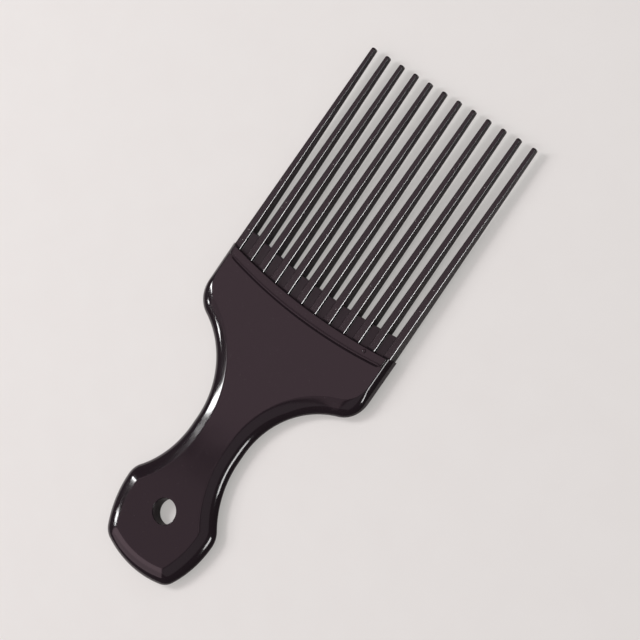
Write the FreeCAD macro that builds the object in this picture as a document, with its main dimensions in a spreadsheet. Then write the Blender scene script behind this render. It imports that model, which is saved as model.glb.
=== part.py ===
# Afro pick: a one-handed hair pick with twelve long teeth, a raised band across the head and a
# waisted handle with a hang hole, moulded in one plastic.
#
# Working frame: X across the teeth, Y from the butt end towards the tips, Z from the back to the
# front, with Z = 0 on the parting plane. The finished pieces are then set down so that the pick
# lies on its back with the origin under the middle of its length.
import FreeCAD
import Part
import Sketcher
import math
import os

doc = FreeCAD.newDocument("afro_pick")
sheet = doc.addObject("Spreadsheet::Sheet", "sizes")

# Driving dimensions, in millimetres
DIMENSIONS = [
    ("tooth_count", "12", "teeth in the row"),
    ("tooth_pitch", "6.0", "between the centre lines of two teeth"),
    ("tooth_length", "80.9", "middle of the root line to the tips"),
    ("tooth_root_width", "3.0", "across one tooth at the root line"),
    ("tooth_root_depth", "4.6", "front to back at the root line"),
    ("tooth_tip_width", "1.55", "across one tooth at its tip"),
    ("tooth_tip_depth", "2.15", "front to back at the tip"),
    ("tooth_edge_round", "0.4", "rounding along the four edges of a tooth"),
    ("tooth_tip_round", "0.6", "rounding of the blunt tip"),
    ("root_line_radius", "225", "curve of the line that the teeth stand on"),
    ("slot_line_radius", "225", "curve through the ends of the slots"),
    ("web_height", "7.25", "root line to slot line, on the middle of the head"),
    ("web_depth", "2.8", "front to back of the web between two roots"),
    ("band_height", "3.8", "band at the middle of the head, along the teeth"),
    ("band_depth", "6.0", "front to back over the raised band"),
    ("band_line_radius", "190", "curve of the lower edge of the band"),
    ("band_end_inset", "2.2", "side of the head to the end of the raised band"),
    ("plate_depth", "5.2", "front to back of the handle"),
    ("head_width", "71.6", "across the head"),
    ("shoulder_round", "9.5", "corner below the side of the head"),
    ("neck_radius", "30.9", "hollow between shoulder and waist"),
    ("head_height", "46.3", "top of the waist to the lower edge of the band"),
    ("waist_width", "21.7", "narrowest place of the handle"),
    ("waist_length", "3.0", "straight part of the waist, along the handle"),
    ("waist_height", "49.5", "butt end to the foot of the waist"),
    ("flare_radius", "35.5", "hollow between waist and grip"),
    ("grip_width", "40.0", "widest place of the grip"),
    ("grip_corner_round", "8.0", "corner at the widest place of the grip"),
    ("butt_side_radius", "38.0", "curve of the sides below the grip corner"),
    ("butt_corner_round", "6.4", "corner between side and butt end"),
    ("butt_end_radius", "36.0", "curve of the butt end"),
    ("bevel_width", "5.2", "outline to the flat face, along the handle"),
    ("bevel_drop", "0.6", "fall of the bevel from the flat face to the rounded edge"),
    ("head_bevel_width", "2.0", "outline to the flat face, at the sides of the head"),
    ("edge_round_width", "2.6", "outline to the bevel, over the rounded edge of the handle"),
    ("head_edge_round_width", "1.2", "outline to the bevel, over the rounded sides of the head"),
    ("hang_hole_diameter", "8.6", "hole for a hook or a loop"),
    ("hang_hole_height", "21.9", "butt end to the centre of the hang hole"),
    ("hang_hole_rim_round", "0.3", "rounding of the rim of the hang hole"),
    ("trim_allowance", "1.5", "extra stock that is trimmed off at a curved seat"),
]
for row, (alias, size, meaning) in enumerate(DIMENSIONS, start=1):
    sheet.set(f"A{row}", meaning)
    sheet.set(f"B{row}", size)
    sheet.setAlias(f"B{row}", alias)
doc.recompute()

# Heights above the butt end that several pieces share
NECK_Y = "(sizes.waist_height + sizes.waist_length)"
BAND_Y = f"({NECK_Y} + sizes.head_height)"
ROOT_Y = f"({BAND_Y} + sizes.band_height)"
SLOT_Y = f"({ROOT_Y} + sizes.web_height)"
TIP_Y = f"({ROOT_Y} + sizes.tooth_length)"


def value(expression):
    """Number that an expression over the sheet gives now."""
    return float(sheet.evalExpression(expression))


def origin_plane(body, role):
    """Origin plane of a body, such as XY_Plane."""
    return next(plane for plane in body.Origin.OriginFeatures if plane.Role == role)


def new_body(name):
    """Empty body with a plain name."""
    return doc.addObject("PartDesign::Body", name)


def new_sketch(body, name, level):
    """Sketch parallel to the parting plane, at a height above it."""
    sketch = body.newObject("Sketcher::SketchObject", name)
    sketch.AttachmentSupport = (origin_plane(body, "XY_Plane"), [""])
    sketch.MapMode = "FlatFace"
    sketch.setExpression("AttachmentOffset.Base.z", level)
    return sketch


def drive(sketch, expression, kind, *places):
    """Dimension in a sketch, bound to an expression over the sheet."""
    index = sketch.addConstraint(Sketcher.Constraint(kind, *places, value(expression)))
    sketch.setExpression(f"Constraints[{index}]", expression)


def place_point(sketch, expression, kind, edge, point):
    """Distance of a point from the origin of its sketch, which counts there as edge -1, point 1."""
    drive(sketch, expression, kind, -1, 1, edge, point)


def keep_on_middle(sketch, edge, point):
    """Point on the middle line of the pick, which counts in a sketch as edge -2."""
    sketch.addConstraint(Sketcher.Constraint("PointOnObject", edge, point, -2))


def round_edges(body, name, base, radius, wanted):
    """Fillet on the edges of a feature that a test picks out."""
    doc.recompute()
    names = [f"Edge{i}" for i, edge in enumerate(base.Shape.Edges, start=1) if wanted(edge)]
    fillet = body.newObject("PartDesign::Fillet", name)
    fillet.Base = (base, names)
    fillet.setExpression("Radius", radius)
    body.Tip = fillet
    return fillet


def boolean(kind, name, base, tool):
    """Cut, Common or Fuse of two objects."""
    result = doc.addObject(f"Part::{kind}", name)
    result.Base = base
    result.Tool = tool
    result.Refine = True
    return result


def finish(piece, label):
    """Name a finished piece and set it down on its back, centred on the origin."""
    piece.Label = label
    piece.setExpression("Placement.Base.y", f"-{TIP_Y} / 2")
    piece.setExpression("Placement.Base.z", "sizes.band_depth / 2")
    return piece


# Points of an edge, in the order in which a sketch counts them
START, END, CENTRE = range(1, 4)


def arc(centre, radius, start, end):
    """Arc of a circle, counter-clockwise between two points."""
    circle = Part.Circle(FreeCAD.Vector(*centre), FreeCAD.Vector(0, 0, 1), radius)
    angles = [math.atan2(y - centre[1], x - centre[0]) for x, y in (start, end)]
    if angles[1] <= angles[0]:
        angles[1] += 2 * math.pi
    return Part.ArcOfCircle(circle, *angles)


def line(start, end):
    """Straight edge between two points."""
    return Part.LineSegment(FreeCAD.Vector(*start), FreeCAD.Vector(*end))


def towards(centre, target, distance):
    """Point at a distance from a centre, in the direction of a target."""
    length = math.dist(centre, target)
    return tuple(c + (t - c) * distance / length for c, t in zip(centre, target))


def lower_meeting(centre_a, radius_a, centre_b, radius_b):
    """Lower right meeting point of two circles."""
    gap = math.dist(centre_a, centre_b)
    along = (gap ** 2 + radius_a ** 2 - radius_b ** 2) / (2 * gap)
    across = math.sqrt(radius_a ** 2 - along ** 2)
    unit = [(b - a) / gap for a, b in zip(centre_a, centre_b)]
    foot = [a + u * along for a, u in zip(centre_a, unit)]
    points = [(foot[0] - s * unit[1] * across, foot[1] + s * unit[0] * across) for s in (1, -1)]
    return max(points, key=lambda point: point[0] - point[1])


# Outline of the handle, which can be drawn at any distance inside itself. All these outlines are the
# same chain of tangent lines and arcs, so that the surface can be ruled from one to the next.
STOCK_Y = f"({ROOT_Y} + sizes.head_width ^ 2 / (8 * sizes.root_line_radius) + sizes.trim_allowance)"


# How far the line from the hollow of the neck to the shoulder leans to the side
SHOULDER_LEAN = ("((sizes.head_width / 2 - sizes.shoulder_round - sizes.waist_width / 2 - sizes.neck_radius)"
                 " / (sizes.neck_radius + sizes.shoulder_round))")


def outline_inside(inset, head_inset):
    """Sizes of the outline at a distance inside the edge, and at another one along the sides of the head.

    The shoulder swings from one distance to the other, and keeps its direction where it leaves the neck.
    """
    shoulder_inset = f"({head_inset} + {inset} * {SHOULDER_LEAN}) / (1 + {SHOULDER_LEAN})"
    return {
        "half_head": f"sizes.head_width / 2 - {head_inset}",
        "shoulder": f"sizes.shoulder_round - {shoulder_inset}",
        "neck": f"sizes.neck_radius + {inset}",
        "half_waist": f"sizes.waist_width / 2 - {inset}",
        "flare": f"sizes.flare_radius + {inset}",
        "grip_corner": f"sizes.grip_corner_round - {inset}",
        "half_grip": f"sizes.grip_width / 2 - {inset}",
        "butt_side": f"sizes.butt_side_radius - {inset}",
        "butt_corner": f"sizes.butt_corner_round - {inset}",
        "butt_end": f"sizes.butt_end_radius - {inset}",
    }


def draw_half_outline(sketch, outline):
    """Right half of a handle outline, closed along the middle line."""
    now = {part: value(expression) for part, expression in outline.items()}
    top = value(STOCK_Y)
    end_centre = (0, value("sizes.butt_end_radius"))
    neck_centre = (now["half_waist"] + now["neck"], value(NECK_Y))
    flare_centre = (now["half_waist"] + now["flare"], value("sizes.waist_height"))
    shoulder_x = now["half_head"] - now["shoulder"]
    rise = math.sqrt((now["neck"] + now["shoulder"]) ** 2 - (neck_centre[0] - shoulder_x) ** 2)
    shoulder_centre = (shoulder_x, neck_centre[1] + rise)
    corner_x = now["half_grip"] - now["grip_corner"]
    fall = math.sqrt((now["flare"] + now["grip_corner"]) ** 2 - (flare_centre[0] - corner_x) ** 2)
    corner_centre = (corner_x, flare_centre[1] - fall)
    side_centre = (now["half_grip"] - now["butt_side"], corner_centre[1])
    butt_centre = lower_meeting(side_centre, now["butt_side"] - now["butt_corner"],
                                end_centre, now["butt_end"] - now["butt_corner"])

    head_top = (now["half_head"], top)
    side_foot = (now["half_head"], shoulder_centre[1])
    shoulder_foot = towards(shoulder_centre, neck_centre, now["shoulder"])
    waist_top = (now["half_waist"], neck_centre[1])
    waist_foot = (now["half_waist"], flare_centre[1])
    flare_foot = towards(corner_centre, flare_centre, now["grip_corner"])
    grip_point = (now["half_grip"], corner_centre[1])
    side_end = towards(side_centre, butt_centre, now["butt_side"])
    end_corner = towards(end_centre, butt_centre, now["butt_end"])
    end_point = (0, end_centre[1] - now["butt_end"])
    middle_top = (0, top)

    chain = [
        line(middle_top, head_top),
        line(head_top, side_foot),
        arc(shoulder_centre, now["shoulder"], shoulder_foot, side_foot),
        arc(neck_centre, now["neck"], shoulder_foot, waist_top),
        line(waist_top, waist_foot),
        arc(flare_centre, now["flare"], waist_foot, flare_foot),
        arc(corner_centre, now["grip_corner"], grip_point, flare_foot),
        arc(side_centre, now["butt_side"], side_end, grip_point),
        arc(butt_centre, now["butt_corner"], end_corner, side_end),
        arc(end_centre, now["butt_end"], end_point, end_corner),
        line(end_point, middle_top),
    ]
    head, side, shoulder, neck, waist, flare, corner, butt_side, butt_corner, butt_end, middle = range(11)
    sketch.addGeometry(chain)

    joined = [(head, END, side, START), (butt_end, START, middle, START), (middle, END, head, START)]
    tangent = [
        (side, END, shoulder, END), (shoulder, START, neck, START), (neck, END, waist, START),
        (waist, END, flare, START), (flare, END, corner, END), (corner, START, butt_side, END),
        (butt_side, START, butt_corner, END), (butt_corner, START, butt_end, END),
    ]
    for places in joined:
        sketch.addConstraint(Sketcher.Constraint("Coincident", *places))
    for places in tangent:
        sketch.addConstraint(Sketcher.Constraint("Tangent", *places))
    sketch.addConstraint(Sketcher.Constraint("Horizontal", head))
    sketch.addConstraint(Sketcher.Constraint("Vertical", side))
    sketch.addConstraint(Sketcher.Constraint("Vertical", waist))
    sketch.addConstraint(Sketcher.Constraint("Horizontal", corner, CENTRE, butt_side, CENTRE))
    for place in ((middle, START), (middle, END), (butt_end, CENTRE)):
        keep_on_middle(sketch, *place)

    place_point(sketch, outline["half_head"], "DistanceX", side, START)
    place_point(sketch, outline["half_waist"], "DistanceX", waist, START)
    place_point(sketch, outline["half_grip"], "DistanceX", butt_side, END)
    place_point(sketch, STOCK_Y, "DistanceY", side, START)
    place_point(sketch, NECK_Y, "DistanceY", waist, START)
    place_point(sketch, "sizes.waist_height", "DistanceY", waist, END)
    place_point(sketch, "sizes.butt_end_radius", "DistanceY", butt_end, CENTRE)
    for edge, part in ((shoulder, "shoulder"), (neck, "neck"), (flare, "flare"),
                       (corner, "grip_corner"), (butt_side, "butt_side"),
                       (butt_corner, "butt_corner"), (butt_end, "butt_end")):
        drive(sketch, outline[part], "Radius", edge)


# Handle stock: one quarter is ruled through outlines from the parting plane over the rounded edge and
# the bevel to the flat face, then mirrored to the back and to the left
EDGE_Z = "(sizes.plate_depth / 2 - sizes.bevel_drop)"
FACE_Z = "(sizes.plate_depth / 2)"
# Course of the rounded edge, in shares of its width and of its height above the parting plane
EDGE_CURVE = [(0, 0), (0.13, 0.3), (0.5, 0.7), (1, 1)]

stock = new_body("handle_stock")
levels = []
for number, (inward, upward) in enumerate(EDGE_CURVE):
    level = new_sketch(stock, f"edge_outline_{number}", f"{upward} * {EDGE_Z}")
    draw_half_outline(level, outline_inside(f"{inward} * sizes.edge_round_width",
                                            f"{inward} * sizes.head_edge_round_width"))
    levels.append(level)
face_sketch = new_sketch(stock, "face_outline", FACE_Z)
draw_half_outline(face_sketch, outline_inside("sizes.bevel_width", "sizes.head_bevel_width"))

quarter = stock.newObject("PartDesign::AdditiveLoft", "quarter")
quarter.Profile = levels[0]
quarter.Sections = levels[1:] + [face_sketch]
quarter.Ruled = True
stock.Tip = quarter
doc.recompute()

to_back = stock.newObject("PartDesign::Mirrored", "to_back")
to_back.MirrorPlane = (origin_plane(stock, "XY_Plane"), [""])
to_left = stock.newObject("PartDesign::Mirrored", "to_left")
to_left.MirrorPlane = (origin_plane(stock, "YZ_Plane"), [""])
whole = stock.newObject("PartDesign::MultiTransform", "whole_stock")
whole.TransformMode = "Whole shape"
whole.Transformations = [to_back, to_left]
whole.Refine = True
stock.Tip = whole
doc.recompute()


def lies_at(edge, level):
    """Edge that lies in the plane at a height above the parting plane, or its mirror image."""
    box = edge.BoundBox
    return box.ZLength < 1e-6 and abs(abs(box.ZMin) - value(level)) < 1e-6


hole_sketch = new_sketch(stock, "hang_hole_outline", FACE_Z)
hole_centre = FreeCAD.Vector(0, value("sizes.hang_hole_height"), 0)
hole_radius = value("sizes.hang_hole_diameter / 2")
hole_sketch.addGeometry(Part.Circle(hole_centre, FreeCAD.Vector(0, 0, 1), hole_radius))
keep_on_middle(hole_sketch, 0, CENTRE)
place_point(hole_sketch, "sizes.hang_hole_height", "DistanceY", 0, CENTRE)
drive(hole_sketch, "sizes.hang_hole_diameter", "Diameter", 0)
hole = stock.newObject("PartDesign::Pocket", "hang_hole")
hole.Profile = hole_sketch
hole.Type = "ThroughAll"
stock.Tip = hole
doc.recompute()


def on_hole_rim(edge):
    """Whole circle where the hang hole meets a flat face."""
    return lies_at(edge, FACE_Z) and edge.isClosed()


rim = round_edges(stock, "hole_rim", hole, "sizes.hang_hole_rim_round", on_hole_rim)


# Curved seats: a disc whose rim is the lower edge of the band, one for the root line and one for
# the slot line, each centred on the middle line beyond the tips
def seat_disc(name, radius, height):
    """Disc, thicker than the pick, whose lowest rim point lies at a height above the butt end."""
    disc = doc.addObject("Part::Cylinder", name)
    disc.setExpression("Radius", radius)
    disc.setExpression("Height", "sizes.band_depth + 2 * sizes.trim_allowance")
    disc.setExpression("Placement.Base.y", f"{height} + {radius}")
    disc.setExpression("Placement.Base.z", "-sizes.band_depth / 2 - sizes.trim_allowance")
    return disc


band_disc = seat_disc("band_line_disc", "sizes.band_line_radius", BAND_Y)
root_disc = seat_disc("root_line_disc", "sizes.root_line_radius", ROOT_Y)
slot_disc = seat_disc("slot_line_disc", "sizes.slot_line_radius", SLOT_Y)

# Handle: the stock below the band
handle = finish(boolean("Cut", "handle_piece", stock, band_disc), "handle")

# Cross band: a rib is raised over both faces of the stock, and the two are trimmed together to the
# band line and the root line
HALF_RIB = "(sizes.head_width / 2 - sizes.band_end_inset)"
RIB_LOW_Y = f"({BAND_Y} - sizes.trim_allowance)"
RIB_HIGH_Y = f"({STOCK_Y} - sizes.trim_allowance / 2)"

rib = doc.addObject("Part::Box", "band_rib")
rib.setExpression("Length", f"2 * {HALF_RIB}")
rib.setExpression("Width", f"{RIB_HIGH_Y} - {RIB_LOW_Y}")
rib.setExpression("Height", "sizes.band_depth")
rib.setExpression("Placement.Base.x", f"-{HALF_RIB}")
rib.setExpression("Placement.Base.y", RIB_LOW_Y)
rib.setExpression("Placement.Base.z", "-sizes.band_depth / 2")
ribbed_stock = boolean("Fuse", "ribbed_stock", stock, rib)
above_band_line = boolean("Common", "above_band_line", ribbed_stock, band_disc)
cross_band = finish(boolean("Cut", "cross_band_piece", above_band_line, root_disc), "cross_band")

# Taper of the teeth, which the webs between them share
LOW_Y = f"({ROOT_Y} - sizes.trim_allowance)"
WIDTH_TAPER = "((sizes.tooth_root_width - sizes.tooth_tip_width) / sizes.tooth_length)"
DEPTH_TAPER = "((sizes.tooth_root_depth - sizes.tooth_tip_depth) / sizes.tooth_length)"
TOOTH_LOW_WIDTH = f"(sizes.tooth_root_width + sizes.trim_allowance * {WIDTH_TAPER})"
TOOTH_LOW_DEPTH = f"(sizes.tooth_root_depth + sizes.trim_allowance * {DEPTH_TAPER})"
tooth_count = int(value("sizes.tooth_count"))


def taper_block(block, low_x, high_x, low_z, high_z, low_y, high_y):
    """Bind a wedge that narrows along the teeth; each pair gives its two sides."""
    bounds = {
        "Ymin": low_y, "Ymax": high_y,
        "Xmin": low_x[0], "Xmax": low_x[1], "X2min": high_x[0], "X2max": high_x[1],
        "Zmin": low_z[0], "Zmax": low_z[1], "Z2min": high_z[0], "Z2max": high_z[1],
    }
    for bound, expression in bounds.items():
        block.setExpression(bound, expression)


def both_sides(size):
    """Two sides of a size that is centred on its own middle."""
    return f"-{size} / 2", f"{size} / 2"


def tooth_centre(number):
    """Place of a tooth across the head, counted from 1 at the left."""
    return f"({number} - (sizes.tooth_count + 1) / 2) * sizes.tooth_pitch"


def along_tooth(edge):
    """Long edge that runs from the root towards the tip."""
    return edge.BoundBox.YLength > value("sizes.tooth_length / 2")


def at_tip(edge):
    """Edge round the flat end of the tip."""
    return edge.BoundBox.YMin > value(TIP_Y) - 1e-6


# Teeth: tapered blocks with rounded edges and blunt tips, seated on the root line
def make_tooth(number):
    """One tooth, as its own body, trimmed to the root line."""
    body = new_body(f"tooth_stock_{number:02d}")
    body.setExpression("Placement.Base.x", tooth_centre(number))
    block = body.newObject("PartDesign::AdditiveWedge", f"tooth_block_{number:02d}")
    taper_block(block, both_sides(TOOTH_LOW_WIDTH), both_sides("sizes.tooth_tip_width"),
                both_sides(TOOTH_LOW_DEPTH), both_sides("sizes.tooth_tip_depth"), LOW_Y, TIP_Y)
    tip = round_edges(body, f"tip_rounding_{number:02d}", block, "sizes.tooth_tip_round", at_tip)
    round_edges(body, f"tooth_rounding_{number:02d}", tip, "sizes.tooth_edge_round", along_tooth)
    return finish(boolean("Common", f"tooth_piece_{number:02d}", body, root_disc), f"tooth_{number:02d}")


teeth = [make_tooth(number) for number in range(1, tooth_count + 1)]

# Webs: thin blocks that fill the roots between neighbouring teeth, from the root line to the slot line
WEB_TOP_Y = f"({SLOT_Y} + sizes.head_width ^ 2 / (8 * sizes.slot_line_radius) + sizes.trim_allowance)"
TOOTH_WIDTH_AT_WEB_TOP = f"(sizes.tooth_root_width - ({WEB_TOP_Y} - {ROOT_Y}) * {WIDTH_TAPER})"


def make_web(number):
    """One web, between a tooth and the next, as wide as the gap between their flanks."""
    block = doc.addObject("Part::Wedge", f"web_block_{number:02d}")
    block.setExpression("Placement.Base.x", f"{tooth_centre(number)} + sizes.tooth_pitch / 2")
    taper_block(block, both_sides(f"(sizes.tooth_pitch - {TOOTH_LOW_WIDTH})"),
                both_sides(f"(sizes.tooth_pitch - {TOOTH_WIDTH_AT_WEB_TOP})"),
                both_sides("sizes.web_depth"), both_sides("sizes.web_depth"), LOW_Y, WEB_TOP_Y)
    seated = boolean("Common", f"web_on_root_line_{number:02d}", block, root_disc)
    return finish(boolean("Cut", f"web_piece_{number:02d}", seated, slot_disc), f"root_web_{number:02d}")


webs = [make_web(number) for number in range(1, tooth_count)]

# Every object has to be whole before any piece is written
doc.recompute()
for item in doc.Objects:
    if "Invalid" in item.State or "Error" in item.State:
        raise RuntimeError(f"{item.Label} did not build: {item.State}")
pieces = [handle, cross_band] + webs + teeth
for piece in pieces:
    if piece.Shape.isNull() or not piece.Shape.isValid() or len(piece.Shape.Solids) != 1:
        raise RuntimeError(f"{piece.Label} is not one valid solid")

os.makedirs("parts", exist_ok=True)
for piece in pieces:
    piece.Shape.exportStep(f"parts/{piece.Label}.step")
print(f"{len(pieces)} pieces, {sum(piece.Shape.Volume for piece in pieces):.0f} cubic millimetres")
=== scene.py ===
# Afro pick moulded in glossy black plastic, lying on its back on a pale floor.
import math

import bmesh
import bpy
from mathutils import Matrix, Vector


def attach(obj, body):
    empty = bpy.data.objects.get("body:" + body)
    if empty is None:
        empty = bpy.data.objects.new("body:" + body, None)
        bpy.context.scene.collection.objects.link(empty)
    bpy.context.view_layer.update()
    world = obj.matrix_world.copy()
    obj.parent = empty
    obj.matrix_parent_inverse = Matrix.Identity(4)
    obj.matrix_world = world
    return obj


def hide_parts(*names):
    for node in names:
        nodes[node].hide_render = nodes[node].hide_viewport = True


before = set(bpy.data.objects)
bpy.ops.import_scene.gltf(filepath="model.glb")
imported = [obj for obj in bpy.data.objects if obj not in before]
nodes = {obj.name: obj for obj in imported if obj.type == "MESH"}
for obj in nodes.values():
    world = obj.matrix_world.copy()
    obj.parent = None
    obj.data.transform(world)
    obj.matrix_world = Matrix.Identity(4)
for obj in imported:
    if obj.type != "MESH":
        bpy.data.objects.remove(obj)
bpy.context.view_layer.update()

# Handle: the waisted plate below the raised band, black plastic moulded in a mould of two halves.
# Its rim is rounded from the parting line up to a shallow bevel, and a hang hole goes through the
# grip. Sizes are in millimetres, from the butt end and from the parting line.
MILLIMETRE = 0.001
HALF_LENGTH = 91.75
PARTING_LEVEL = 3.0
FACE_LEVEL = 2.6
HEAD_HALF = 35.8
SHOULDER_RADIUS = 9.5
NECK_RADIUS = 30.9
WAIST_HALF = 10.85
WAIST_FOOT = 49.5
WAIST_TOP = 52.5
FLARE_RADIUS = 35.5
GRIP_HALF = 20.0
GRIP_CORNER_RADIUS = 8.0
BUTT_SIDE_RADIUS = 38.0
BUTT_CORNER_RADIUS = 6.4
BUTT_END_RADIUS = 36.0
BAND_LINE_RADIUS = 190.0
BAND_LINE_HEIGHT = 98.8
HOLE_RADIUS = 4.3
HOLE_HEIGHT = 21.9
HOLE_RIM = 0.3
# Groove at the foot of the band: distance below the band line, depth
FOOT_GROOVE = [(0, 0.24), (0.22, 0.17), (0.45, 0.08), (0.7, 0), (1.1, 0)]
GROOVE_FADE = 1.0
# Rim profile: inset along the handle, inset along the sides of the head, height above the parting line
RIM_PROFILE = [
    (0, 0, 0),
    (0.34, 0.16, 0.6),
    (1.3, 0.6, 1.4),
    (2.6, 1.2, 2.0),
    (5.2, 2.0, 2.6),
    (6.0, 2.4, 2.6),
]
CORNER_CUT = 0.25
SHOULDER_STEPS = 14
NECK_STEPS = 24
GRIP_STEPS = 12
GROOVE_STEPS = 24
HOLE_STEPS = 24
HOLE_RIM_STEPS = 4
MERGE_DISTANCE = 0.002
SHARP_ANGLE = 35


def cut_corners(points):
    """Polyline with each corner cut at a quarter of its two sides."""
    cut = [points[0]]
    for low, high in zip(points, points[1:]):
        for share in (CORNER_CUT, 1 - CORNER_CUT):
            cut.append(tuple(a + (b - a) * share for a, b in zip(low, high)))
    return cut + [points[-1]]


def line_across(radius, height, x):
    """Height of a curved line across the head, which rises from the middle to the sides."""
    return height + radius - math.sqrt(radius ** 2 - x ** 2)


def arc_points(centre, start, end, count):
    """Points on the short arc about a centre, after its start and up to its end."""
    first = math.atan2(start[1] - centre[1], start[0] - centre[0])
    turn = math.atan2(end[1] - centre[1], end[0] - centre[0]) - first
    turn = (turn + math.pi) % (2 * math.pi) - math.pi
    radius = math.dist(centre, start)
    points = []
    for step in range(1, count + 1):
        angle = first + turn * step / count
        points.append((centre[0] + radius * math.cos(angle), centre[1] + radius * math.sin(angle)))
    return points


def point_towards(centre, target, distance):
    """Point at a distance from a centre, in the direction of a target."""
    share = distance / math.dist(centre, target)
    return (centre[0] + (target[0] - centre[0]) * share, centre[1] + (target[1] - centre[1]) * share)


def handle_outline(inset, head_inset):
    """Right half of the handle outline inside its edge, from the band line round to the butt end."""
    lean = (HEAD_HALF - SHOULDER_RADIUS - WAIST_HALF - NECK_RADIUS) / (NECK_RADIUS + SHOULDER_RADIUS)
    shoulder_radius = SHOULDER_RADIUS - (head_inset + inset * lean) / (1 + lean)
    neck_radius = NECK_RADIUS + inset
    flare_radius = FLARE_RADIUS + inset
    corner_radius = GRIP_CORNER_RADIUS - inset
    side_radius = BUTT_SIDE_RADIUS - inset
    butt_radius = BUTT_CORNER_RADIUS - inset
    end_radius = BUTT_END_RADIUS - inset
    head_x = HEAD_HALF - head_inset
    waist_x = WAIST_HALF - inset
    grip_x = GRIP_HALF - inset

    neck = (waist_x + neck_radius, WAIST_TOP)
    rise = math.sqrt((neck_radius + shoulder_radius) ** 2 - (neck[0] - head_x + shoulder_radius) ** 2)
    shoulder = (head_x - shoulder_radius, neck[1] + rise)
    flare = (waist_x + flare_radius, WAIST_FOOT)
    fall = math.sqrt((flare_radius + corner_radius) ** 2 - (flare[0] - grip_x + corner_radius) ** 2)
    corner = (grip_x - corner_radius, flare[1] - fall)
    side = (grip_x - side_radius, corner[1])
    end = (0, BUTT_END_RADIUS)
    gap = math.dist(side, end)
    along = (gap ** 2 + (side_radius - butt_radius) ** 2 - (end_radius - butt_radius) ** 2) / (2 * gap)
    across = math.sqrt((side_radius - butt_radius) ** 2 - along ** 2)
    unit = ((end[0] - side[0]) / gap, (end[1] - side[1]) / gap)
    butt = (side[0] + unit[0] * along + unit[1] * across, side[1] + unit[1] * along - unit[0] * across)

    band_y = line_across(BAND_LINE_RADIUS, BAND_LINE_HEIGHT, head_x)
    points = [(head_x, band_y - distance) for distance, _ in FOOT_GROOVE] + [(head_x, shoulder[1])]
    shoulder_end = point_towards(shoulder, neck, shoulder_radius)
    points += arc_points(shoulder, points[-1], shoulder_end, SHOULDER_STEPS)
    points += arc_points(neck, points[-1], (waist_x, neck[1]), NECK_STEPS)
    points.append((waist_x, flare[1]))
    flare_end = point_towards(corner, flare, corner_radius)
    points += arc_points(flare, points[-1], flare_end, NECK_STEPS)
    grip_arcs = [
        (corner, (grip_x, corner[1])),
        (side, point_towards(side, butt, side_radius)),
        (butt, point_towards(end, butt, end_radius)),
        (end, (0, end[1] - end_radius)),
    ]
    for centre, stop in grip_arcs:
        points += arc_points(centre, points[-1], stop, GRIP_STEPS)
    return points


def quarter_turn(steps):
    """Angles from none to a quarter turn, in even steps."""
    return [math.pi / 2 * step / steps for step in range(steps + 1)]


def hole_ring(radius, level):
    """Right half of a ring round the hang hole, from its foot to its top."""
    ring = []
    for step in range(HOLE_STEPS + 1):
        angle = -math.pi / 2 + math.pi * step / HOLE_STEPS
        ring.append((radius * math.cos(angle), HOLE_HEIGHT + radius * math.sin(angle), level))
    return ring


def strips_between(rows):
    """Faces between neighbouring rows of points."""
    faces = []
    for low, high in zip(rows, rows[1:]):
        for place in range(len(low) - 1):
            faces.append([low[place], low[place + 1], high[place + 1], high[place]])
    return faces


def wall_down(points):
    """Faces from a line of points straight back to the parting line."""
    return strips_between([points, [(x, y, 0) for x, y, _ in points]])


def mirrored_piece(name, quarter_faces, material):
    """Piece from the faces of its right front quarter, mirrored to the left and to the back."""
    work = bmesh.new()
    for side in (1, -1):
        for front in (1, -1):
            for face in quarter_faces:
                spots = [(side * x, y - HALF_LENGTH, front * z + PARTING_LEVEL) for x, y, z in face]
                work.faces.new([work.verts.new(Vector(spot) * MILLIMETRE) for spot in spots])
    bmesh.ops.remove_doubles(work, verts=work.verts, dist=MERGE_DISTANCE * MILLIMETRE)
    bmesh.ops.dissolve_degenerate(work, edges=work.edges, dist=MERGE_DISTANCE * MILLIMETRE)
    bmesh.ops.recalc_face_normals(work, faces=work.faces)
    for face in work.faces:
        face.smooth = True
    mesh = bpy.data.meshes.new(name)
    work.to_mesh(mesh)
    work.free()
    mesh.set_sharp_from_angle(angle=math.radians(SHARP_ANGLE))
    mesh.materials.append(material)
    piece = bpy.data.objects.new(name, mesh)
    bpy.context.scene.collection.objects.link(piece)
    return piece


rim_levels = cut_corners(cut_corners(RIM_PROFILE))
handle_rows = []
for inset, head_inset, level in rim_levels:
    handle_rows.append([(x, y, level) for x, y in handle_outline(inset, head_inset)])
inner_row = handle_rows[-1]
groove_end = inner_row[0][0]
groove_rows = []
for distance, depth in FOOT_GROOVE:
    groove_row = []
    for step in range(GROOVE_STEPS + 1):
        x = groove_end * step / GROOVE_STEPS
        y = line_across(BAND_LINE_RADIUS, BAND_LINE_HEIGHT, x) - distance
        groove_row.append((x, y, FACE_LEVEL - depth * min((groove_end - x) / GROOVE_FADE, 1)))
    groove_rows.append(groove_row)
hole_rows = [hole_ring(HOLE_RADIUS + 2 * HOLE_RIM, FACE_LEVEL)]
for turn in quarter_turn(HOLE_RIM_STEPS):
    rim_radius = HOLE_RADIUS + HOLE_RIM * (1 - math.sin(turn))
    hole_rows.append(hole_ring(rim_radius, FACE_LEVEL - HOLE_RIM * (1 - math.cos(turn))))
hole_rows.append(hole_ring(HOLE_RADIUS, 0))
half_face = groove_rows[-1] + inner_row[len(FOOT_GROOVE):] + hole_rows[0]
top_edge = groove_rows[0] + [row[0] for row in reversed(handle_rows[:-1])]
handle_faces = strips_between(handle_rows) + strips_between(groove_rows) + strips_between(hole_rows)
handle_faces += wall_down(top_edge) + [half_face]

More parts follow.
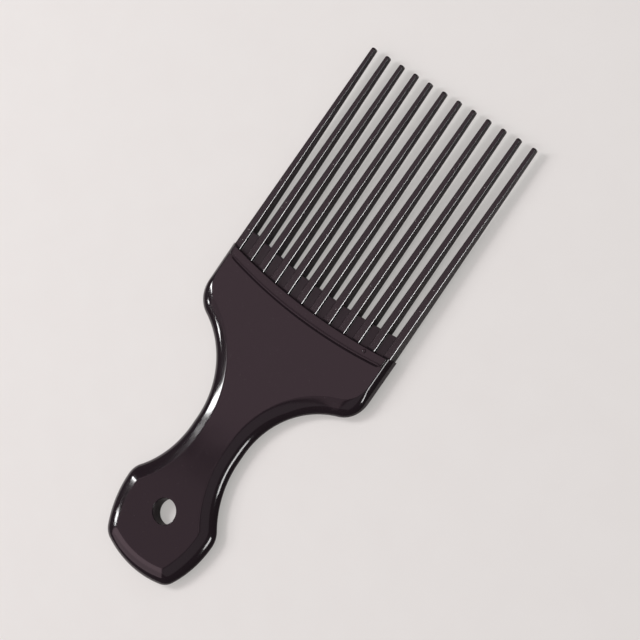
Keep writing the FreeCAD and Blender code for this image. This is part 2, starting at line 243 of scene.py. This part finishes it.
# Skin that a polished mould leaves: sinks where the plastic cools slowly, hairline scratches, dust
SINK_SCALE = 70
SINK_HAZE = 0.07
SCRATCH_DIRECTION = 35
SCRATCH_SCALE = (4000, 60, 400)
SCRATCH_STARTS = 0.74
SCRATCH_FULL = 0.8
SCRATCH_HAZE = 0.06
SCRATCH_RELIEF = -0.02
SPECK_SCALE = 420
SPECK_EDGE = 0.07
SPECK_CORE = 0.04
SKIN_DEPTH = 0.12
# The black's purple cast is partly a painted reflection: it stands in for the rosy room that the gloss
# mirrors.
HANDLE_BLACK = (0.011, 0.0062, 0.009)
FAINT_DUST = (0.03, 0.026, 0.028)
HANDLE_POLISH = 0.06
HANDLE_RELIEF = 0.5


def make_moulded_skin():
    """Node group that puts out the colour, the roughness and the relief of the skin."""
    group = bpy.data.node_groups.new("moulded_skin", "ShaderNodeTree")
    inputs = (("Plastic", "NodeSocketColor"), ("Dust", "NodeSocketColor"), ("Polish", "NodeSocketFloat"))
    outputs = (("Tone", "NodeSocketColor"), ("Roughness", "NodeSocketFloat"), ("Height", "NodeSocketFloat"))
    for name, kind in inputs:
        group.interface.new_socket(name, in_out="INPUT", socket_type=kind)
    for name, kind in outputs:
        group.interface.new_socket(name, in_out="OUTPUT", socket_type=kind)
    new = group.nodes.new
    link = group.links.new
    given = new("NodeGroupInput")
    put_out = new("NodeGroupOutput")
    place = new("ShaderNodeTexCoord")

    sinks = new("ShaderNodeTexNoise")
    sinks.inputs["Scale"].default_value = SINK_SCALE
    sinks.inputs["Detail"].default_value = 1
    link(place.outputs["Object"], sinks.inputs["Vector"])

    turned = new("ShaderNodeMapping")
    turned.inputs["Rotation"].default_value = (0, 0, math.radians(SCRATCH_DIRECTION))
    turned.inputs["Scale"].default_value = SCRATCH_SCALE
    link(place.outputs["Object"], turned.inputs["Vector"])
    scratches = new("ShaderNodeTexNoise")
    scratches.inputs["Scale"].default_value = 1
    scratches.inputs["Detail"].default_value = 0
    link(turned.outputs["Vector"], scratches.inputs["Vector"])
    hairlines = new("ShaderNodeMapRange")
    hairlines.inputs["From Min"].default_value = SCRATCH_STARTS
    hairlines.inputs["From Max"].default_value = SCRATCH_FULL
    link(scratches.outputs["Fac"], hairlines.inputs["Value"])

    grains = new("ShaderNodeTexVoronoi")
    grains.inputs["Scale"].default_value = SPECK_SCALE
    link(place.outputs["Object"], grains.inputs["Vector"])
    specks = new("ShaderNodeMapRange")
    specks.inputs["From Min"].default_value = SPECK_EDGE
    specks.inputs["From Max"].default_value = SPECK_CORE
    link(grains.outputs["Distance"], specks.inputs["Value"])

    tone = new("ShaderNodeMix")
    tone.data_type = "RGBA"
    link(specks.outputs["Result"], tone.inputs["Factor"])
    link(given.outputs["Plastic"], tone.inputs["A"])
    link(given.outputs["Dust"], tone.inputs["B"])

    haze = new("ShaderNodeMath")
    haze.operation = "MULTIPLY_ADD"
    haze.inputs[1].default_value = SINK_HAZE
    link(sinks.outputs["Fac"], haze.inputs[0])
    link(given.outputs["Polish"], haze.inputs[2])
    dull = new("ShaderNodeMath")
    dull.operation = "MULTIPLY_ADD"
    dull.inputs[1].default_value = SCRATCH_HAZE
    link(hairlines.outputs["Result"], dull.inputs[0])
    link(haze.outputs["Value"], dull.inputs[2])

    relief = new("ShaderNodeMath")
    relief.operation = "MULTIPLY_ADD"
    relief.inputs[1].default_value = SCRATCH_RELIEF
    link(hairlines.outputs["Result"], relief.inputs[0])
    link(sinks.outputs["Fac"], relief.inputs[2])

    link(tone.outputs["Result"], put_out.inputs["Tone"])
    link(dull.outputs["Value"], put_out.inputs["Roughness"])
    link(relief.outputs["Value"], put_out.inputs["Height"])
    return group


moulded_skin = make_moulded_skin()


def make_plastic(name, plastic, dust, polish, relief):
    """Black plastic under the moulded skin, with a bump node that takes up its relief."""
    material = bpy.data.materials.new(name)
    material.use_nodes = True
    tree = material.node_tree
    shader = tree.nodes["Principled BSDF"]
    skin = tree.nodes.new("ShaderNodeGroup")
    skin.node_tree = moulded_skin
    skin.inputs["Plastic"].default_value = (*plastic, 1)
    skin.inputs["Dust"].default_value = (*dust, 1)
    skin.inputs["Polish"].default_value = polish
    bump = tree.nodes.new("ShaderNodeBump")
    bump.name = "skin_bump"
    bump.inputs["Strength"].default_value = relief
    bump.inputs["Distance"].default_value = SKIN_DEPTH * MILLIMETRE
    tree.links.new(skin.outputs["Tone"], shader.inputs["Base Color"])
    tree.links.new(skin.outputs["Roughness"], shader.inputs["Roughness"])
    tree.links.new(skin.outputs["Height"], bump.inputs["Height"])
    tree.links.new(bump.outputs["Normal"], shader.inputs["Normal"])
    return material


handle_plastic = make_plastic("handle_plastic", HANDLE_BLACK, FAINT_DUST, HANDLE_POLISH, HANDLE_RELIEF)
handle = mirrored_piece("handle_body", handle_faces, handle_plastic)
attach(handle, "root")
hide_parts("handle")

# Cross band: the rib across the head that the teeth stand on, raised over both faces and moulded in
# one with the handle, of the same black plastic. Its ends stop short of the sides of the head, and
# its long edges are rounded.
ROOT_LINE_RADIUS = 225.0
ROOT_LINE_HEIGHT = 102.6
RIB_HALF = 33.6
RIB_LEVEL = 3.0
RIB_EDGE_WIDTH = 0.35
RIB_EDGE_DROP = 0.35
RIB_EDGE_STEPS = 3
RIB_STEPS = 16
rib_edge = []
for turn in reversed(quarter_turn(RIB_EDGE_STEPS)):
    rib_edge.append((RIB_EDGE_WIDTH * (1 - math.sin(turn)), RIB_EDGE_DROP * (1 - math.cos(turn))))
band_section = [((RIB_HALF - RIB_EDGE_WIDTH) * step / RIB_STEPS, RIB_LEVEL) for step in range(RIB_STEPS)]
band_section += [(RIB_HALF - inward, RIB_LEVEL - drop) for inward, drop in reversed(rib_edge)]
band_section.append((RIB_HALF, FACE_LEVEL))
head_side = [(HEAD_HALF - head_inset, level) for _, head_inset, level in reversed(rim_levels)]
band_section += [spot for spot in head_side if spot[0] > RIB_HALF]


def band_row(radius, height, inward, drop):
    """Row of points along one long edge of the band, moved towards its middle and lowered."""
    row = []
    for x, z in band_section:
        row.append((x, line_across(radius, height, x) + inward, min(z, RIB_LEVEL - drop)))
    return row


band_rows = []
for inward, drop in rib_edge:
    band_rows.append(band_row(BAND_LINE_RADIUS, BAND_LINE_HEIGHT, inward, drop))
for inward, drop in reversed(rib_edge):
    band_rows.append(band_row(ROOT_LINE_RADIUS, ROOT_LINE_HEIGHT, -inward, drop))
band_faces = strips_between(band_rows) + wall_down(band_rows[0]) + wall_down(band_rows[-1])
cross_band = mirrored_piece("cross_band_body", band_faces, handle_plastic)
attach(cross_band, "root")
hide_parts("cross_band")

# Gate mark: the low round button near the right end of the band where the plastic entered the mould.
# It is part of the moulding and has been twisted off low, so that only a shallow dome is left.
GATE_RADIUS = 0.7
GATE_HEIGHT = 0.16
GATE_X = 25.8
GATE_ABOVE_BAND_LINE = 2.2
GATE_SEGMENTS = 32
GATE_RINGS = 16
gate_y = line_across(BAND_LINE_RADIUS, BAND_LINE_HEIGHT, GATE_X) + GATE_ABOVE_BAND_LINE
gate_spot = Vector((GATE_X, gate_y - HALF_LENGTH, PARTING_LEVEL + RIB_LEVEL)) * MILLIMETRE
gate_work = bmesh.new()
bmesh.ops.create_uvsphere(gate_work, u_segments=GATE_SEGMENTS, v_segments=GATE_RINGS,
                          radius=GATE_RADIUS * MILLIMETRE)
gate_work.transform(Matrix.Diagonal((1, 1, GATE_HEIGHT / GATE_RADIUS, 1)))
for gate_face in gate_work.faces:
    gate_face.smooth = True
gate_work.transform(Matrix.Translation(gate_spot))
gate_mesh = bpy.data.meshes.new("gate_mark")
gate_work.to_mesh(gate_mesh)
gate_work.free()
gate_mesh.materials.append(handle_plastic)
gate_mark = bpy.data.objects.new("gate_mark", gate_mesh)
bpy.context.scene.collection.objects.link(gate_mark)
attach(gate_mark, "root")

# Root webs: the thin webs of black plastic that tie the roots of the teeth together, moulded in one
# with them. They lie back from the teeth, where the mould is less polished, and so they are duller.
# The black's purple cast is partly a painted reflection: it stands in for the rosy room that the gloss
# mirrors.
WEB_BLACK = (0.01, 0.006, 0.0085)
WEB_POLISH = 0.3
WEB_RELIEF = 0.5
WEB_SPECULAR = 0.42
web_plastic = make_plastic("web_plastic", WEB_BLACK, FAINT_DUST, WEB_POLISH, WEB_RELIEF)
web_plastic.node_tree.nodes["Principled BSDF"].inputs["Specular IOR Level"].default_value = WEB_SPECULAR
for name, node in nodes.items():
    if name.startswith("root_web_"):
        node.data.materials.clear()
        node.data.materials.append(web_plastic)

# Teeth: twelve long tapered teeth with blunt tips, of black plastic and moulded in one with the band.
# The cutter that made the mould left fine lines along them, and dust shows on them as pale specks.
# The black's purple cast is partly a painted reflection: it stands in for the rosy room that the gloss
# mirrors.
TOOTH_BLACK = (0.01, 0.0065, 0.0085)
PALE_DUST = (0.35, 0.33, 0.33)
TOOTH_POLISH = 0.16
TOOTH_RELIEF = 0.12
CUTTER_LINE_SCALE = (5000, 25, 5000)
CUTTER_LINE_STRENGTH = 0.08
CUTTER_LINE_DEPTH = 0.02
tooth_plastic = make_plastic("tooth_plastic", TOOTH_BLACK, PALE_DUST, TOOTH_POLISH, TOOTH_RELIEF)
tooth_tree = tooth_plastic.node_tree
tooth_place = tooth_tree.nodes.new("ShaderNodeTexCoord")
lengthwise = tooth_tree.nodes.new("ShaderNodeMapping")
lengthwise.inputs["Scale"].default_value = CUTTER_LINE_SCALE
tooth_tree.links.new(tooth_place.outputs["Object"], lengthwise.inputs["Vector"])
cutter_lines = tooth_tree.nodes.new("ShaderNodeTexNoise")
cutter_lines.inputs["Scale"].default_value = 1
cutter_lines.inputs["Detail"].default_value = 1
tooth_tree.links.new(lengthwise.outputs["Vector"], cutter_lines.inputs["Vector"])
cutter_bump = tooth_tree.nodes.new("ShaderNodeBump")
cutter_bump.inputs["Strength"].default_value = CUTTER_LINE_STRENGTH
cutter_bump.inputs["Distance"].default_value = CUTTER_LINE_DEPTH * MILLIMETRE
tooth_tree.links.new(cutter_lines.outputs["Fac"], cutter_bump.inputs["Height"])
tooth_tree.links.new(cutter_bump.outputs["Normal"], tooth_tree.nodes["skin_bump"].inputs["Normal"])
teeth = [node for name, node in nodes.items() if name.startswith("tooth_")]
for tooth in teeth:
    tooth.data.materials.clear()
    tooth.data.materials.append(tooth_plastic)

# Tooth feet: the small hollow fillets of black plastic that lead from the wall of the band onto the
# face of each tooth, on the front and on the back, moulded in one with both.
TOOTH_PITCH = 6.0
TEETH_PER_SIDE = 6
TOOTH_FACE_LEVEL = 2.28
FOOT_HALF_WIDTH = 1.2
FOOT_LENGTH = 0.9
FOOT_RISE = 0.34
FOOT_SINK = 0.3
FOOT_STEPS = 6


def foot_section(x):
    """Section of a foot at a place across the head: the hollow from the band down, then its underside."""
    y = line_across(ROOT_LINE_RADIUS, ROOT_LINE_HEIGHT, x)
    section = []
    for turn in quarter_turn(FOOT_STEPS):
        level = TOOTH_FACE_LEVEL + FOOT_RISE * (1 - math.sin(turn))
        section.append((x, y + FOOT_LENGTH * (1 - math.cos(turn)), level))
    low = TOOTH_FACE_LEVEL - FOOT_SINK
    return section + [(x, y + FOOT_LENGTH, low), (x, y, low)]


foot_faces = []
for number in range(TEETH_PER_SIDE):
    tooth_x = (number + 0.5) * TOOTH_PITCH
    left_section = foot_section(tooth_x - FOOT_HALF_WIDTH)
    right_section = foot_section(tooth_x + FOOT_HALF_WIDTH)
    foot_faces += [left_section, right_section]
    foot_faces += strips_between([left_section + left_section[:1], right_section + right_section[:1]])
tooth_feet = mirrored_piece("tooth_feet", foot_faces, tooth_plastic)
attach(tooth_feet, "root")

# Floor: a pale matt paper sheet that the pick lies on, which is not part of the pick. Near the pick a
# painted glow of its own colour, seen by the camera, lightens the shadows; towards its far edges it
# shows only its plain colour. Sizes are in metres.
FLOOR_HALF = 2.0
FLOOR_DROP = 0.0002
PAPER_ROUGHNESS = 0.9
PAPER_SPECULAR = 0.2
PAPER_SHADE = (0.775, 0.755, 0.735, 1)
PAPER_PALE = (0.795, 0.78, 0.76, 1)
FIBRE_SCALE = 300
GLOW_NEAR = 0.45
GLOW_STARTS = 0.3
GLOW_ENDS = 1.2
bpy.ops.mesh.primitive_plane_add(size=2 * FLOOR_HALF, location=(0, 0, -FLOOR_DROP))
floor = bpy.context.object
floor.name = "floor"
floor_paper = bpy.data.materials.new("floor_paper")
floor_paper.use_nodes = True
paper_tree = floor_paper.node_tree
paper_shader = paper_tree.nodes["Principled BSDF"]
paper_shader.inputs["Roughness"].default_value = PAPER_ROUGHNESS
paper_shader.inputs["Specular IOR Level"].default_value = PAPER_SPECULAR
fibres = paper_tree.nodes.new("ShaderNodeTexNoise")
fibres.inputs["Scale"].default_value = FIBRE_SCALE
paper_tone = paper_tree.nodes.new("ShaderNodeMix")
paper_tone.data_type = "RGBA"
paper_tone.inputs["A"].default_value = PAPER_SHADE
paper_tone.inputs["B"].default_value = PAPER_PALE
paper_tree.links.new(fibres.outputs["Fac"], paper_tone.inputs["Factor"])
paper_tree.links.new(paper_tone.outputs["Result"], paper_shader.inputs["Base Color"])
# Painted glow: the camera sees the paper partly as light of its own colour, less of it near the pick, which
# lightens the shadows there.
paper_glow = paper_tree.nodes.new("ShaderNodeEmission")
paper_tree.links.new(paper_tone.outputs["Result"], paper_glow.inputs["Color"])
paper_ray = paper_tree.nodes.new("ShaderNodeLightPath")
paper_place = paper_tree.nodes.new("ShaderNodeTexCoord")
from_pick = paper_tree.nodes.new("ShaderNodeVectorMath")
from_pick.operation = "LENGTH"
paper_tree.links.new(paper_place.outputs["Object"], from_pick.inputs[0])
towards_far = paper_tree.nodes.new("ShaderNodeMapRange")
towards_far.inputs["From Min"].default_value = GLOW_STARTS
towards_far.inputs["From Max"].default_value = GLOW_ENDS
towards_far.inputs["To Min"].default_value = GLOW_NEAR
paper_tree.links.new(from_pick.outputs["Value"], towards_far.inputs["Value"])
glow_share = paper_tree.nodes.new("ShaderNodeMath")
glow_share.operation = "MULTIPLY"
paper_tree.links.new(paper_ray.outputs["Is Camera Ray"], glow_share.inputs[0])
paper_tree.links.new(towards_far.outputs["Result"], glow_share.inputs[1])
paper_surface = paper_tree.nodes.new("ShaderNodeMixShader")
paper_tree.links.new(glow_share.outputs["Value"], paper_surface.inputs["Fac"])
paper_tree.links.new(paper_shader.outputs["BSDF"], paper_surface.inputs[1])
paper_tree.links.new(paper_glow.outputs["Emission"], paper_surface.inputs[2])
paper_tree.links.new(paper_surface.outputs["Shader"], paper_tree.nodes["Material Output"].inputs["Surface"])
floor.data.materials.append(floor_paper)

# Studio light: soft panels that the face and the bevels mirror, two small keys for the highlights on
# the left rim, a lamp that casts the shadows to the right, and two cards on the right whose mirror
# images run along the edges of the teeth and along the right rim. Sizes are in metres.
WHITE_LIGHT = (1, 1, 1)
ROSE_LIGHT = (1, 0.7, 0.8)
END_LIGHT = (1, 0.74, 0.82)
FILL_LIGHT = (1, 0.85, 0.92)
CARD_DIRECTION = (0.65, -0.14, 0.75)


def panel_light(name, direction, distance, length, height, radiance, colour=WHITE_LIGHT):
    """Area light that faces the pick, its length along the pick; its power follows from its radiance."""
    lamp = bpy.data.lights.new(name, "AREA")
    lamp.shape = "RECTANGLE"
    lamp.size = length
    lamp.size_y = height
    lamp.color = colour
    lamp.energy = radiance * math.pi * length * height
    away = Vector(direction).normalized()
    up = away.cross(Vector((0, 1, 0))).normalized()
    panel = bpy.data.objects.new(name, lamp)
    panel.location = away * distance
    panel.rotation_euler = Matrix((up.cross(away), up, away)).transposed().to_euler()
    bpy.context.scene.collection.objects.link(panel)
    return panel


panel_light("soft_panel", (-0.43, 0.04, 0.9), distance=1.1, length=0.64, height=0.65,
            radiance=0.74, colour=ROSE_LIGHT)
panel_light("low_panel", (-0.42, -0.5, 0.76), distance=1.1, length=0.56, height=0.65,
            radiance=0.5, colour=ROSE_LIGHT)
panel_light("end_panel", (-0.4, -0.74, 0.6), distance=1.2, length=0.55, height=0.7,
            radiance=1.0, colour=END_LIGHT)
panel_light("fill_panel", (0.08, -0.22, 0.97), distance=1.1, length=1.15, height=0.4,
            radiance=0.3, colour=FILL_LIGHT)
panel_light("key_panel", (-0.755, -0.275, 0.59), distance=1.2, length=0.06, height=0.3, radiance=38)
panel_light("butt_key", (-0.72, -0.46, 0.52), distance=1.2, length=0.05, height=0.1, radiance=30)
shadow_lamp = panel_light("shadow_lamp", (-0.6, -0.05, 0.8), distance=1.2, length=0.35, height=0.35,
                          radiance=15)
shadow_lamp.visible_glossy = False
edge_card = panel_light("edge_card", CARD_DIRECTION, distance=1.2, length=0.57, height=0.6, radiance=45)
rim_card = panel_light("rim_card", CARD_DIRECTION, distance=1.2, length=0.57, height=0.22, radiance=14)
for card, lit_pieces in ((edge_card, teeth), (rim_card, [handle, cross_band])):
    card.visible_diffuse = False
    lit_by_card = bpy.data.collections.new("lit_by_" + card.name)
    for piece in lit_pieces:
        lit_by_card.objects.link(piece)
    card.light_linking.receiver_collection = lit_by_card

# Room: the grey surroundings that light the pick from all round, which are not part of it. The gloss
# mirrors them darker, and past the floor they show as a pale backdrop.
ROOM_GREY = (0.4, 0.39, 0.385, 1)
MIRRORED_GREY = (0.12, 0.11, 0.115, 1)
BACKDROP_PALE = (0.82, 0.79, 0.77, 1)
world = bpy.data.worlds.new("room")
world.use_nodes = True
bpy.context.scene.world = world
room_tree = world.node_tree
room = room_tree.nodes["Background"]
room.inputs["Color"].default_value = ROOM_GREY
mirrored_room = room_tree.nodes.new("ShaderNodeBackground")
mirrored_room.inputs["Color"].default_value = MIRRORED_GREY
backdrop = room_tree.nodes.new("ShaderNodeBackground")
backdrop.inputs["Color"].default_value = BACKDROP_PALE
room_ray = room_tree.nodes.new("ShaderNodeLightPath")
surroundings = room_tree.nodes.new("ShaderNodeMixShader")
room_tree.links.new(room_ray.outputs["Is Glossy Ray"], surroundings.inputs["Fac"])
room_tree.links.new(room.outputs["Background"], surroundings.inputs[1])
room_tree.links.new(mirrored_room.outputs["Background"], surroundings.inputs[2])
seen_room = room_tree.nodes.new("ShaderNodeMixShader")
room_tree.links.new(room_ray.outputs["Is Camera Ray"], seen_room.inputs["Fac"])
room_tree.links.new(surroundings.outputs["Shader"], seen_room.inputs[1])
room_tree.links.new(backdrop.outputs["Background"], seen_room.inputs[2])
room_tree.links.new(seen_room.outputs["Shader"], room_tree.nodes["World Output"].inputs["Surface"])

# Camera: above the right side of the pick and turned about its line of sight, so that the teeth point
# up and to the right. Its place is in metres from the middle of the pick.
CAMERA_PLACE = (0.19391, 0.05141, 0.40148)
LOOK_AT = (0.00588, 0.01017, 0.003)
CAMERA_ROLL = -66.62
CAMERA_LENS = 78.22
SENSOR_WIDTH = 36
NEAREST_SEEN = 0.01
camera_data = bpy.data.cameras.new("camera")
camera_data.lens = CAMERA_LENS
camera_data.sensor_width = SENSOR_WIDTH
camera_data.clip_start = NEAREST_SEEN
camera = bpy.data.objects.new("camera", camera_data)
camera.location = CAMERA_PLACE
aim = (Vector(LOOK_AT) - camera.location).to_track_quat("-Z", "Y").to_matrix()
roll = Matrix.Rotation(math.radians(CAMERA_ROLL), 3, "Z")
camera.rotation_euler = (aim @ roll).to_euler()
bpy.context.scene.collection.objects.link(camera)
bpy.context.scene.camera = camera
bpy.context.scene.view_settings.view_transform = "Standard"
